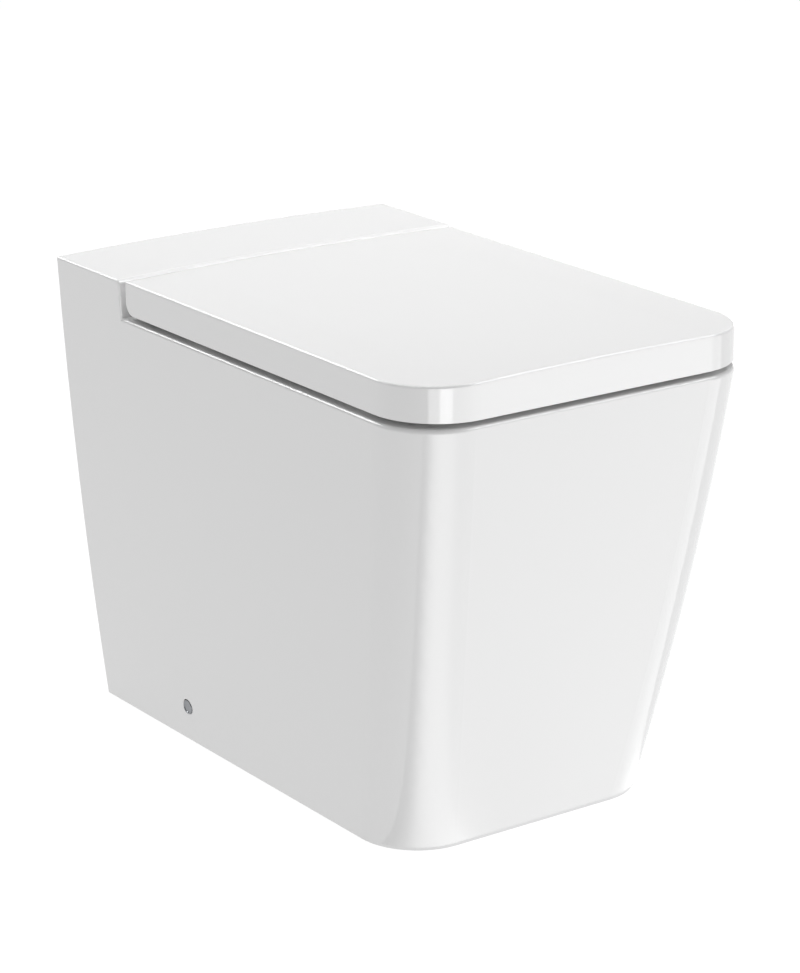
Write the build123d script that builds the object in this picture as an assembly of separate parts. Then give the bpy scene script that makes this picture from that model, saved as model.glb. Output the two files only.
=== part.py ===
from build123d import *
import os
from math import cos, sin, radians

os.makedirs("parts", exist_ok=True)

# The frame: the floor is Z = 0, the wall that the pan backs on to is at Y = wall_y, the front looks to -Y,
# and X = 0 is the plane of symmetry. Every length is in millimetres.

# Outside of the ceramic
overall_depth = 560.0
ledge_width = 368.0
floor_width = 285.0
side_bulge = 4.2
ledge_rise = 35.5
top_crown = 3.0
ledge_depth = 108.0
rim_height = 401.5
rim_setback = 1.0
toe_setback = 76.5
front_bulge = 4.8
corner_radius = 59.0
ceramic_wall = 12.0
deck_thickness = 14.0
ledge_front_round = 4.0
ledge_side_round = 2.0
rim_edge_round = 3.0

# Bowl, from the rim down to the sump
mouth_width = 276.0
mouth_rear_land = 168.0
mouth_radius = 88.0
mouth_front_land = 55.0
mouth_edge_round = 7.0
shelf_drop = 45.0
shelf_step = 12.0
bowl_wall = 10.0
bowl_sections = 6
sump_mouth_drop = 236.0
sump_width = 78.0
sump_length = 116.0
sump_lip = 2.0
sump_end_flat = 8.0
sump_from_wall = 322.0

# Trapway and outlet
trap_bore = 72.0
trap_wall = 10.0
sump_floor_height = 65.0
water_seal = 50.0
trap_bend_radius = 50.0
trap_rise_angle = 70.0
trap_fall_angle = 35.0
outlet_height = 180.0
outlet_diameter = 102.0
outlet_length = 50.0
outlet_setback = 40.0

# Flush inlet
inlet_height = 340.0
horn_bore = 55.0
horn_wall = 10.0
horn_setback = 40.0
horn_end_wall = 15.0
slot_width = 100.0
slot_height = 14.0
chamber_width = 120.0
chamber_height = 40.0
seal_clearance = 0.1
seal_bore = 44.0
seal_lip = 7.0
seal_lip_thickness = 4.0
seal_length = 30.0

# Side fixing to the floor bracket
fixing_height = 35.0
fixing_from_wall = 151.5
fixing_hole = 12.0
spot_face_diameter = 15.0
spot_face_depth = 1.4
bracket_reach = 44.0
bracket_width = 40.0
bracket_height = 50.0
bracket_thickness = 4.0
bracket_from_ceramic = 12.0
bracket_floor_hole = 9.0
bracket_hole_from_upright = 24.0
screw_diameter = 5.5
screw_tail = 9.0
screw_head_diameter = 9.0
screw_head_thickness = 3.0
screw_socket_across = 4.0
screw_socket_depth = 1.8
bracket_nut_across = 10.0
bracket_nut_thickness = 4.5
sleeve_clearance = 0.1
sleeve_bore = 6.0
sleeve_counterbore = 9.6
cap_diameter = 14.0
cap_thickness = 2.4
cap_edge_round = 0.8
cap_plug_diameter = 9.4
cap_plug_length = 2.0
cap_plug_gap = 0.3
thread_clearance = 0.05

# Seat hinges
hinge_spacing = 155.0
hinge_from_wall = 131.0
hinge_axis_rise = 23.0
stud_ahead_of_axis = 6.0
stud_diameter = 6.0
stud_below_deck = 19.0
stud_in_post = 12.0
deck_hole = 14.0
bush_flange_diameter = 24.0
bush_flange_thickness = 3.0
washer_diameter = 26.0
washer_thickness = 1.6
hinge_nut_across = 17.0
hinge_nut_thickness = 6.0
base_diameter = 40.0
base_thickness = 3.0
post_width = 24.0
post_ahead = 18.0
post_behind = 2.0
barrel_length = 30.0
knuckle_diameter = 16.0
knuckle_length = 15.0
knuckle_gap = 0.5
pin_diameter = 6.0
pin_clearance = 0.05
pin_head_diameter = 9.0
pin_head_thickness = 2.2
damper_diameter = 11.0
damper_length = 36.0
damper_end_wall = 4.0
pin_into_damper = 8.0

# Quick-release button in the front of each hinge post
button_width = 12.0
button_height = 7.0
button_depth = 5.8
button_proud = 2.5
button_travel = 2.5
button_clearance = 0.3
button_above_base = 3.5

# Seat ring
seat_thickness = 18.5
seat_above_rim = 7.0
seat_side_gap = 2.5
seat_front_gap = 3.0
seat_rear_ahead_of_axis = 26.0
seat_rear_radius = 15.0
seat_opening_width = 228.0
seat_opening_radius = 95.0
seat_opening_front_land = 66.0
seat_opening_rear_land = 43.0
seat_inner_round = 7.0
seat_outer_round = 4.0
seat_arm_thickness = 10.5
seat_buffer_width = 14.0
seat_buffer_length = 34.0
seat_buffer_from_edge = 17.0
seat_buffer_front = 445.0
seat_buffer_rear = 210.0

# Lid, which wraps over the seat ring
lid_half_width = 180.5
lid_behind_ledge_gap = 7.0
lid_corner_radius = 61.0
lid_above_rim = 5.5
lid_skirt = 6.0
lid_panel_edge = 4.2
lid_top_round = 2.0
lid_rear_foot_round = 12.0
hinge_notch_width = 260.0
lid_buffer_diameter = 12.0
lid_buffer_from_skirt = 26.5
lid_buffer_front = 470.0
lid_buffer_rear = 215.0

# Places worked out from the sizes above
wall_y = overall_depth / 2
ledge_height = rim_height + ledge_rise
rim_front_depth = overall_depth - rim_setback
floor_front_depth = overall_depth - toe_setback
ledge_y = wall_y - ledge_depth
deck_under = rim_height - deck_thickness
axis_y = wall_y - hinge_from_wall
axis_z = rim_height + hinge_axis_rise
stud_y = axis_y - stud_ahead_of_axis
hinge_x = hinge_spacing / 2
base_top = rim_height + base_thickness
knuckle_radius = knuckle_diameter / 2
pin_radius = pin_diameter / 2
pin_hole = pin_radius + pin_clearance
barrel_inner = hinge_x - barrel_length / 2
barrel_outer = hinge_x + barrel_length / 2
seat_knuckle_start = barrel_outer + knuckle_gap
lid_knuckle_start = seat_knuckle_start + knuckle_length + knuckle_gap
lid_knuckle_end = lid_knuckle_start + knuckle_length
damper_outer = barrel_inner - knuckle_gap
seat_under = rim_height + seat_above_rim
seat_top = seat_under + seat_thickness
seat_front_y = -wall_y + lid_skirt + seat_front_gap
seat_rear_y = axis_y - seat_rear_ahead_of_axis
lid_inner_half_width = lid_half_width - lid_skirt
seat_half_width = lid_inner_half_width - seat_side_gap
seat_buffer_x = seat_half_width - seat_buffer_from_edge
lid_buffer_x = lid_inner_half_width - lid_buffer_from_skirt
lid_under = rim_height + lid_above_rim
lid_ceiling = ledge_height - lid_panel_edge
lid_rear_y = ledge_y - lid_behind_ledge_gap
button_z = base_top + button_above_base + button_height / 2
mouth_front_y = wall_y - rim_front_depth + mouth_front_land
mouth_rear_y = wall_y - mouth_rear_land
mouth_length = mouth_rear_y - mouth_front_y
mouth_y = (mouth_front_y + mouth_rear_y) / 2
shelf_z = rim_height - shelf_drop
sump_mouth_z = rim_height - sump_mouth_drop
sump_y = wall_y - sump_from_wall
trap_start_z = sump_floor_height + trap_bore / 2
trap_start_y = sump_y + sump_length / 2 - sump_width / 2
weir_z = sump_floor_height + trap_bore + water_seal + trap_bore / 2
outlet_end_y = wall_y - outlet_setback
horn_end_y = wall_y - horn_setback
fixing_y = wall_y - fixing_from_wall
sides = (("left", -1), ("right", 1))


def side_at(height):
    """Half the ceramic's width at a height: a straight taper with a slight outward bulge."""
    share = height / ledge_height
    taper = floor_width / 2 + (ledge_width - floor_width) / 2 * share
    return taper + 4 * side_bulge * share * (1 - share)


def front_at(height):
    """Y of the ceramic's front face at a height, which leans and bulges in the same way."""
    share = height / rim_height
    taper = floor_front_depth + (rim_front_depth - floor_front_depth) * share
    return wall_y - taper - 4 * front_bulge * share * (1 - share)


def front_view(inset, low, high, crown=0.0):
    """The shell seen from the front, inset from the outside, as a face in X and Z."""
    middle = (low + high) / 2
    edge = [side_at(z) - inset for z in (low, middle, high)]
    right = ThreePointArc((edge[0], low), (edge[1], middle), (edge[2], high))
    left = ThreePointArc((-edge[2], high), (-edge[1], middle), (-edge[0], low))
    if crown > 0:
        top = ThreePointArc(right @ 1, (0, high + crown), left @ 0)
    else:
        top = Line(right @ 1, left @ 0)
    return make_face([Line(left @ 1, right @ 0), right, top, left])


def side_view(inset, low, high, back):
    """The shell seen from the side, inset from the outside, as a face in Y and Z."""
    middle = (low + high) / 2
    edge = [front_at(z) + inset for z in (low, middle, high)]
    front = ThreePointArc((edge[0], low), (edge[1], middle), (edge[2], high))
    top = Line(front @ 1, (back, high))
    rear = Line(top @ 1, (back, low))
    return make_face([front, top, rear, Line(rear @ 1, front @ 0)])


def along_y(face, start, end):
    """Extrude a face drawn in X and Z from one Y to another."""
    return extrude(Plane.XZ.offset(-end) * face, end - start)


def tapered_block(inset, low, high, back):
    """The tapering box of the shell with its two upright front corners rounded."""
    across = along_y(front_view(inset, low, high), -overall_depth, back)
    along = extrude(Plane.YZ * side_view(inset, low, high, back), ledge_width, both=True)
    block = across & along
    uprights = block.edges().filter_by(
        lambda e: abs((e @ 0).Z - (e @ 1).Z) > (high - low) / 2 and (e @ 0).Y < 0)
    return fillet(uprights, corner_radius - inset)


def box_between(x, y, z):
    """A box from pairs of lowest and highest X, Y and Z."""
    size = [pair[1] - pair[0] for pair in (x, y, z)]
    middle = [(pair[0] + pair[1]) / 2 for pair in (x, y, z)]
    return Pos(*middle) * Box(*size)


def rod_x(radius, start, end, y, z):
    """A rod along X between two X values."""
    return Pos((start + end) / 2, y, z) * Rot(0, 90, 0) * Cylinder(radius, abs(end - start))


def rod_y(radius, start, end, x, z):
    """A rod along Y between two Y values."""
    return Pos(x, (start + end) / 2, z) * Rot(90, 0, 0) * Cylinder(radius, end - start)


def rod_z(radius, start, end, x, y):
    """An upright rod between two heights."""
    return Pos(x, y, (start + end) / 2) * Cylinder(radius, end - start)


def bowl_shape(grow):
    """The bowl's inside, or with grow its outside: mouth, easing walls and the sump well."""
    def level(z, width, length, radius, y):
        return Pos(0, y, z) * RectangleRounded(width + 2 * grow, length + 2 * grow, radius + grow)

    shelf = level(shelf_z - grow, mouth_width, mouth_length, mouth_radius, mouth_y)
    mouth = extrude(shelf, shelf_drop + grow)
    shelf_width = mouth_width - 2 * shelf_step
    shelf_length = mouth_length - 2 * shelf_step
    well_width = sump_width + 2 * sump_lip
    well_length = sump_length + 2 * sump_lip
    sump_radius = sump_width / 2 - sump_end_flat
    levels = []
    for step in range(bowl_sections):
        share = step / (bowl_sections - 1)
        ease = (1 + cos(radians(180 * share))) / 2
        levels.append(level(
            shelf_z - grow + (sump_mouth_z - shelf_z + grow) * share,
            well_width + (shelf_width - well_width) * ease,
            well_length + (shelf_length - well_length) * ease,
            sump_radius + (mouth_radius - shelf_step - sump_radius) * ease,
            sump_y + (mouth_y - sump_y) * ease))
    return mouth + loft(levels) + sump_well(grow)


def sump_well(grow):
    """The round-bottomed well below the bowl, which holds the water seal."""
    radius = sump_width / 2 + grow
    high = sump_mouth_z + bowl_wall / 2
    bottom = ThreePointArc((-radius, trap_start_z), (0, trap_start_z - radius), (radius, trap_start_z))
    right = Line(bottom @ 1, (radius, high))
    top = Line(right @ 1, (-radius, high))
    outline = make_face([bottom, right, top, Line(top @ 1, bottom @ 0)])
    half_length = sump_length / 2 + grow
    well = along_y(outline, sump_y - half_length, sump_y + half_length)
    ends = well.edges().filter_by(
        lambda e: abs(abs(e.center().Y - sump_y) - half_length) < 0.1 and e.center().Z < high - 1)
    return fillet(ends, radius - sump_end_flat)


def trap_path():
    """The centre line of the trapway: level, up over the weir, down and level to the outlet."""
    turn_rise = trap_bend_radius * (1 - cos(radians(trap_rise_angle)))
    turn_fall = trap_bend_radius * (1 - cos(radians(trap_fall_angle)))
    climb = (weir_z - trap_start_z - 2 * turn_rise) / sin(radians(trap_rise_angle))
    descent = (weir_z - outlet_height - 2 * turn_fall) / sin(radians(trap_fall_angle))
    start = Line((trap_start_y - 1, trap_start_z), (trap_start_y, trap_start_z))
    lift = JernArc(start @ 1, start % 1, trap_bend_radius, trap_rise_angle)
    rise = PolarLine(lift @ 1, climb, direction=lift % 1)
    crest = JernArc(rise @ 1, rise % 1, trap_bend_radius, -trap_rise_angle - trap_fall_angle)
    fall = PolarLine(crest @ 1, descent, direction=crest % 1)
    level_out = JernArc(fall @ 1, fall % 1, trap_bend_radius, trap_fall_angle)
    run_out = Line(level_out @ 1, (outlet_end_y, outlet_height))
    return Plane.YZ * (start + lift + rise + crest + fall + level_out + run_out)


def trap_tube(radius):
    """A round tube along the trapway."""
    start = Plane(origin=(0, trap_start_y - 1, trap_start_z), x_dir=(1, 0, 0), z_dir=(0, 1, 0))
    return sweep(start * Circle(radius), path=trap_path().wire())


def pan_outside():
    """The outside of the casting: tapering block up to the rim, and the crowned ledge at the back."""
    above_rim = box_between(
        (-ledge_width, ledge_width), (-overall_depth, wall_y + 1), (rim_height, ledge_height + 10))
    block = tapered_block(0, 0, ledge_height, wall_y) - above_rim
    rim = block.edges().filter_by(
        lambda e: abs(e.center().Z - rim_height) < 0.1 and e.center().Y < wall_y - 1)
    block = fillet(rim, rim_edge_round)
    ledge = along_y(front_view(0, 0, ledge_height, top_crown), ledge_y, wall_y)
    front_edge = ledge.edges().filter_by(
        lambda e: abs(e.center().Y - ledge_y) < 0.1 and e.center().Z > ledge_height)
    ledge = fillet(front_edge, ledge_front_round)
    side_edges = ledge.edges().filter_by(
        lambda e: abs((e @ 0).Y - (e @ 1).Y) > ledge_depth / 2 and e.center().Z > ledge_height - 1)
    return block + fillet(side_edges, ledge_side_round)


def hollow_space():
    """The space inside the shell, open to the wall and to the floor, and stepped up under the ledge."""
    above_deck = box_between(
        (-ledge_width, ledge_width), (-overall_depth, ledge_y + ceramic_wall), (deck_under, ledge_height))
    return tapered_block(ceramic_wall, -10, ledge_height - ceramic_wall, wall_y + 10) - above_deck


def pan_shell():
    """The skirt, the seat deck with the bowl's mouth, and the ledge: the first moulding of the casting."""
    shell = pan_outside() - hollow_space() - bowl_shape(0)
    for _, side in sides:
        face_x = side_at(fixing_height)
        shell -= rod_z(deck_hole / 2, deck_under - 1, rim_height + 1, side * hinge_x, stud_y)
        shell -= rod_x(fixing_hole / 2, side * (face_x - 2 * ceramic_wall), side * (face_x + 5),
                       fixing_y, fixing_height)
        shell -= rod_x(spot_face_diameter / 2, side * (face_x - spot_face_depth), side * (face_x + 5),
                       fixing_y, fixing_height)
    mouth_edge = shell.edges().filter_by(
        lambda e: abs(e.center().Z - rim_height) < 0.1 and abs(e.center().X) < mouth_width / 2 + 0.1
        and mouth_front_y - 0.1 < e.center().Y < mouth_rear_y + 0.1)
    return fillet(mouth_edge, mouth_edge_round)


def bowl_outside():
    """The bowl's outside up to the underside of the deck."""
    above = box_between(
        (-ledge_width, ledge_width), (-overall_depth, overall_depth), (deck_under, ledge_height + 10))
    return bowl_shape(bowl_wall) - above


def flush_slot():
    """The slot through which the flush enters the bowl below its shelf."""
    return box_between(
        (-slot_width / 2, slot_width / 2), (mouth_rear_y - 30, mouth_rear_y + horn_end_wall + 1),
        (inlet_height - slot_height / 2, inlet_height + slot_height / 2))


def pan_bowl():
    """The bowl with its shelf and sump, stuck under the deck while the clay is soft."""
    return bowl_outside() - bowl_shape(0) - trap_tube(trap_bore / 2) - flush_slot()


def pan_trapway():
    """The trapway from the sump over the weir, and the outlet spigot at its end."""
    tube = trap_tube(trap_bore / 2 + trap_wall)
    tube += rod_y(outlet_diameter / 2, outlet_end_y - outlet_length, outlet_end_y, 0, outlet_height)
    return tube - trap_tube(trap_bore / 2) - bowl_outside()


def pan_flush_horn():
    """The flush horn and the chamber that spreads the water behind the bowl."""
    horn = rod_y(horn_bore / 2 + horn_wall, mouth_rear_y + 5, horn_end_y, 0, inlet_height)
    horn += box_between(
        (-chamber_width / 2, chamber_width / 2), (mouth_rear_y - 10, mouth_rear_y + 30),
        (inlet_height - chamber_height / 2, deck_under))
    bore = rod_y(horn_bore / 2, mouth_rear_y + horn_end_wall, horn_end_y + 1, 0, inlet_height)
    return horn - bore - flush_slot() - bowl_outside()


def inlet_seal():
    """The rubber seal pressed into the horn, with a lip over the horn's end."""
    radius = horn_bore / 2 - seal_clearance
    seal = rod_y(radius, horn_end_y - seal_length, horn_end_y, 0, inlet_height)
    seal += rod_y(horn_bore / 2 + seal_lip, horn_end_y, horn_end_y + seal_lip_thickness, 0, inlet_height)
    return seal - rod_y(seal_bore / 2, horn_end_y - seal_length - 1, horn_end_y + 10, 0, inlet_height)


spot_floor_x = side_at(fixing_height) - spot_face_depth
bracket_outer_x = side_at(0) - ceramic_wall - bracket_from_ceramic
bracket_inner_x = bracket_outer_x - bracket_thickness
head_outer_x = spot_floor_x - cap_plug_length - cap_plug_gap
head_inner_x = head_outer_x - screw_head_thickness
screw_hole = screw_diameter / 2 + thread_clearance


def rod_side(side, radius, start, end):
    """A rod on the side fixing's axis, between two distances from the plane of symmetry."""
    return rod_x(radius, side * start, side * end, fixing_y, fixing_height)


def hexagon_side(side, across, start, end):
    """A hexagonal prism on the side fixing's axis."""
    plane = Plane(origin=(side * start, fixing_y, fixing_height), z_dir=(side, 0, 0))
    return extrude(plane * RegularPolygon(across / 2, 6, major_radius=False), end - start)


def floor_bracket(side):
    """The steel angle that is screwed to the floor and carries the side screw's nut."""
    y = (fixing_y - bracket_width / 2, fixing_y + bracket_width / 2)
    upright_x = sorted((side * bracket_inner_x, side * bracket_outer_x))
    foot_x = sorted((side * (bracket_outer_x - bracket_reach), side * bracket_outer_x))
    bracket = box_between(upright_x, y, (0, bracket_height)) + box_between(foot_x, y, (0, bracket_thickness))
    bracket -= rod_side(side, screw_hole, bracket_inner_x - 1, bracket_outer_x + 1)
    hole_x = side * (bracket_inner_x - bracket_hole_from_upright)
    return bracket - rod_z(bracket_floor_hole / 2, -1, bracket_thickness + 1, hole_x, fixing_y)


def bracket_nut(side):
    """The nut behind the bracket's upright."""
    start = bracket_inner_x - bracket_nut_thickness
    nut = hexagon_side(side, bracket_nut_across, start, bracket_inner_x)
    return nut - rod_side(side, screw_hole, start - 1, bracket_inner_x + 1)


def side_screw(side):
    """The long screw from the ceramic's side into the bracket's nut."""
    screw = rod_side(side, screw_diameter / 2, bracket_inner_x - screw_tail, head_inner_x)
    screw += rod_side(side, screw_head_diameter / 2, head_inner_x, head_outer_x)
    socket_end = head_outer_x - screw_socket_depth
    return screw - hexagon_side(side, screw_socket_across, socket_end, head_outer_x + 1)


def side_sleeve(side):
    """The plastic spacer between the bracket and the ceramic, counterbored for the screw head."""
    sleeve = rod_side(side, fixing_hole / 2 - sleeve_clearance, bracket_outer_x, spot_floor_x)
    sleeve -= rod_side(side, sleeve_bore / 2, bracket_outer_x - 1, spot_floor_x + 1)
    return sleeve - rod_side(side, sleeve_counterbore / 2, head_inner_x, spot_floor_x + 1)


def side_cap(side):
    """The chromed cover cap: a rounded disc with a plug that snaps into the sleeve."""
    disc = rod_side(side, cap_diameter / 2, spot_floor_x, spot_floor_x + cap_thickness)
    rim = disc.edges().filter_by(lambda e: abs(abs(e.center().X) - spot_floor_x - cap_thickness) < 0.1)
    disc = fillet(rim.filter_by(GeomType.CIRCLE), cap_edge_round)
    return disc + rod_side(side, cap_plug_diameter / 2, spot_floor_x - cap_plug_length, spot_floor_x)


def rod_hinge(side, radius, low, high):
    """An upright rod on a seat fixing's stud."""
    return rod_z(radius, low, high, side * hinge_x, stud_y)


bush_under = deck_under - bush_flange_thickness
washer_under = bush_under - washer_thickness
stud_hole = stud_diameter / 2 + thread_clearance


def hinge_bush(side):
    """The rubber bush that centres the stud in the deck's hole."""
    bush = rod_hinge(side, deck_hole / 2 - sleeve_clearance, bush_under, rim_height - 0.5)
    bush += rod_hinge(side, bush_flange_diameter / 2, bush_under, deck_under)
    return bush - rod_hinge(side, stud_hole, bush_under - 1, rim_height + 1)


def hinge_bolt(side):
    """The stud from the hinge post down through the deck."""
    return rod_hinge(side, stud_diameter / 2, deck_under - stud_below_deck, base_top + stud_in_post)


def hinge_washer(side):
    """The washer under the bush."""
    washer = rod_hinge(side, washer_diameter / 2, washer_under, bush_under)
    return washer - rod_hinge(side, stud_hole, washer_under - 1, bush_under + 1)


def hinge_nut(side):
    """The nut under the deck."""
    low = washer_under - hinge_nut_thickness
    nut = Pos(side * hinge_x, stud_y, low) * extrude(
        RegularPolygon(hinge_nut_across / 2, 6, major_radius=False), hinge_nut_thickness)
    return nut - rod_hinge(side, stud_hole, low - 1, washer_under + 1)


def hinge_base(side):
    """The chromed disc that the hinge post stands on."""
    base = rod_hinge(side, base_diameter / 2, rim_height, base_top)
    edge = base.edges().filter_by(GeomType.CIRCLE).sort_by(Axis.Z)[-1]
    base = fillet(edge, base_thickness / 3)
    return base - rod_hinge(side, stud_hole, rim_height - 1, base_top + 1)


def button_block(side, clearance, front, rear):
    """The button's prism between two Y values, grown by a clearance for its pocket."""
    half_width = button_width / 2 + clearance
    half_height = button_height / 2 + clearance
    return box_between(
        (side * hinge_x - half_width, side * hinge_x + half_width), (front, rear),
        (button_z - half_height, button_z + half_height))


post_front_y = axis_y - post_ahead
button_front_y = post_front_y - button_proud


def hinge_barrel(side):
    """The post and barrel that carry the hinge pin, with a pocket for the release button."""
    post = box_between(
        (side * hinge_x - post_width / 2, side * hinge_x + post_width / 2),
        (post_front_y, axis_y + post_behind), (base_top, axis_z))
    shoulder = post.edges().filter_by(Axis.X).filter_by(
        lambda e: e.center().Z > axis_z - 1 and e.center().Y < axis_y)
    post = fillet(shoulder, post_ahead / 3)
    barrel = post + rod_x(knuckle_radius, side * barrel_inner, side * barrel_outer, axis_y, axis_z)
    barrel -= rod_x(pin_hole, side * (barrel_inner - 1), side * (barrel_outer + 1), axis_y, axis_z)
    barrel -= rod_hinge(side, stud_hole, base_top - 1, base_top + stud_in_post + 0.5)
    pocket_rear = button_front_y + button_travel + button_depth + button_clearance
    return barrel - button_block(side, button_clearance, post_front_y - 1, pocket_rear)


def release_button(side):
    """The quick-release button in the front of the post."""
    button = button_block(side, 0, button_front_y, button_front_y + button_depth)
    return fillet(button.edges().filter_by(Axis.Y), button_height / 6)


def hinge_pin(side):
    """The steel pin through the barrel and both knuckles, with a head at its outer end."""
    inner = damper_outer - pin_into_damper
    head = lid_knuckle_end + knuckle_gap / 2
    pin = rod_x(pin_radius, side * inner, side * head, axis_y, axis_z)
    head_end = side * (head + pin_head_thickness)
    return pin + rod_x(pin_head_diameter / 2, side * head, head_end, axis_y, axis_z)


def damper(side):
    """The rotary damper that slows the seat or the lid, driven by the end of the hinge pin."""
    start = damper_outer - knuckle_gap / 2
    barrel = rod_x(damper_diameter / 2, side * start, side * (start - damper_length), axis_y, axis_z)
    return barrel - rod_x(
        pin_hole, side * (start + 1), side * (damper_outer - pin_into_damper - knuckle_gap), axis_y, axis_z)


def damper_housing(side, floor, ceiling, front, rear):
    """The sleeve that holds a damper, on a web that joins it to its seat or lid."""
    inner = damper_outer - knuckle_gap - damper_length - damper_end_wall
    x = sorted((side * inner, side * damper_outer))
    sleeve = rod_x(knuckle_radius, x[0], x[1], axis_y, axis_z)
    return sleeve + box_between(x, (front, rear), (floor, ceiling))


def damper_bore(side):
    """The hole that a damper slides into."""
    end = damper_outer - knuckle_gap - damper_length
    bore = damper_diameter / 2 + thread_clearance
    return rod_x(bore, side * (damper_outer + 1), side * end, axis_y, axis_z)


def knuckle(side, start, floor, ceiling, front, rear):
    """One hinge knuckle on its web."""
    x = sorted((side * start, side * (start + knuckle_length)))
    eye = rod_x(knuckle_radius, x[0], x[1], axis_y, axis_z)
    return eye + box_between(x, (front, rear), (floor, ceiling))


def pin_passage(side):
    """The running hole for the hinge pin through a knuckle."""
    return rod_x(pin_hole, side * barrel_outer, side * (lid_knuckle_end + 1), axis_y, axis_z)


def seat_ring():
    """The seat ring: a rounded slab with its opening, two hinge knuckles and the damper's housing."""
    ring = box_between(
        (-seat_half_width, seat_half_width), (seat_front_y, seat_rear_y), (seat_under, seat_top))
    uprights = ring.edges().filter_by(Axis.Z)
    front_radius = lid_corner_radius - lid_skirt - seat_front_gap
    ring = fillet(uprights.filter_by(lambda e: e.center().Y < 0), front_radius)
    ring = fillet(ring.edges().filter_by(Axis.Z).filter_by(
        lambda e: abs(e.center().Y - seat_rear_y) < 0.1), seat_rear_radius)
    ring = fillet(ring.edges().filter_by(lambda e: e.center().Z > seat_top - 0.1), seat_outer_round)
    opening_front = seat_front_y + seat_opening_front_land
    opening_rear = seat_rear_y - seat_opening_rear_land
    outline = RectangleRounded(seat_opening_width, opening_rear - opening_front, seat_opening_radius)
    opening_y = (opening_front + opening_rear) / 2
    ring -= Pos(0, opening_y, seat_under - 1) * extrude(outline, seat_thickness + 2)
    inner_edge = ring.edges().filter_by(
        lambda e: e.center().Z > seat_top - 0.1 and abs(e.center().X) < seat_opening_width / 2 + 0.1
        and opening_front - 0.1 < e.center().Y < opening_rear + 0.1)
    ring = fillet(inner_edge, seat_inner_round)
    floor = seat_top - seat_arm_thickness
    front = seat_rear_y - seat_outer_round - 1
    for _, side in sides:
        ring += knuckle(side, seat_knuckle_start, floor, seat_top, front, axis_y)
        ring -= pin_passage(side)
    ring += damper_housing(-1, floor, seat_top, front, axis_y)
    return ring - damper_bore(-1)


def seat_buffers():
    """The four rubber feet under the seat ring."""
    feet = Part()
    for _, side in sides:
        for from_wall in (seat_buffer_front, seat_buffer_rear):
            outline = RectangleRounded(seat_buffer_width, seat_buffer_length, seat_buffer_width / 3)
            foot = extrude(outline, seat_above_rim)
            feet += Pos(side * seat_buffer_x, wall_y - from_wall, rim_height) * foot
    return feet


def lid_outside():
    """The lid's outer block: crowned top, rounded front corners and a rounded rear foot."""
    corner = (lid_half_width, ledge_height)
    foot = (lid_half_width, lid_under)
    crown = ThreePointArc(corner, (0, ledge_height + top_crown), (-corner[0], corner[1]))
    left_side = Line(crown @ 1, (-foot[0], foot[1]))
    outline = make_face([crown, left_side, Line(left_side @ 1, foot), Line(foot, corner)])
    block = along_y(outline, -wall_y, lid_rear_y)
    block = fillet(block.edges().filter_by(Axis.Z).filter_by(lambda e: e.center().Y < 0), lid_corner_radius)
    rear_foot = block.edges().filter_by(
        lambda e: abs(e.center().Y - lid_rear_y) < 0.1 and e.center().Z < lid_under + 0.1)
    block = fillet(rear_foot, lid_rear_foot_round)
    return fillet(block.edges().filter_by(lambda e: e.center().Z > ledge_height - 0.1), lid_top_round)


def lid_shell():
    """The lid: a thin crowned panel with a skirt all round, two knuckles and the damper's housing."""
    inner_width = lid_half_width - lid_skirt
    rear = lid_rear_y - lid_skirt
    hollow = box_between(
        (-inner_width, inner_width), (-wall_y + lid_skirt, rear), (lid_under - 1, lid_ceiling))
    hollow = fillet(hollow.edges().filter_by(Axis.Z).filter_by(
        lambda e: e.center().Y < 0), lid_corner_radius - lid_skirt)
    notch = box_between(
        (-hinge_notch_width / 2, hinge_notch_width / 2), (rear - 0.1, lid_rear_y + 1),
        (lid_under - 1, lid_ceiling))
    lid = lid_outside() - hollow - notch
    front = axis_y - knuckle_radius
    back = axis_y + knuckle_radius
    for _, side in sides:
        lid += knuckle(side, lid_knuckle_start, axis_z, lid_ceiling, front, back)
        lid -= pin_passage(side)
    lid += damper_housing(1, axis_z, lid_ceiling, front, back)
    return lid - damper_bore(1)


def lid_buffers():
    """The four rubber studs between the lid and the seat ring."""
    studs = Part()
    for _, side in sides:
        for from_wall in (lid_buffer_front, lid_buffer_rear):
            studs += rod_z(lid_buffer_diameter / 2, seat_top, lid_ceiling,
                           side * lid_buffer_x, wall_y - from_wall)
    return studs


paired_pieces = {
    "floor_bracket": floor_bracket,
    "bracket_nut": bracket_nut,
    "side_screw": side_screw,
    "side_sleeve": side_sleeve,
    "side_cap": side_cap,
    "hinge_bush": hinge_bush,
    "hinge_bolt": hinge_bolt,
    "hinge_washer": hinge_washer,
    "hinge_nut": hinge_nut,
    "hinge_base": hinge_base,
    "hinge_barrel": hinge_barrel,
    "hinge_pin": hinge_pin,
    "release_button": release_button,
}
pieces = {
    "pan_shell": pan_shell(),
    "pan_bowl": pan_bowl(),
    "pan_trapway": pan_trapway(),
    "pan_flush_horn": pan_flush_horn(),
    "inlet_seal": inlet_seal(),
    "seat_ring": seat_ring(),
    "seat_buffers": seat_buffers(),
    "seat_damper": damper(-1),
    "lid_shell": lid_shell(),
    "lid_buffers": lid_buffers(),
    "lid_damper": damper(1),
}
for name, make in paired_pieces.items():
    for side_name, side in sides:
        pieces[name + "_" + side_name] = make(side)

for name, piece in pieces.items():
    export_step(piece, "parts/" + name + ".step")
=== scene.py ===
import bmesh
import bpy
from math import cos, pi, radians, sin, tan
from mathutils import Matrix, Vector


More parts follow.
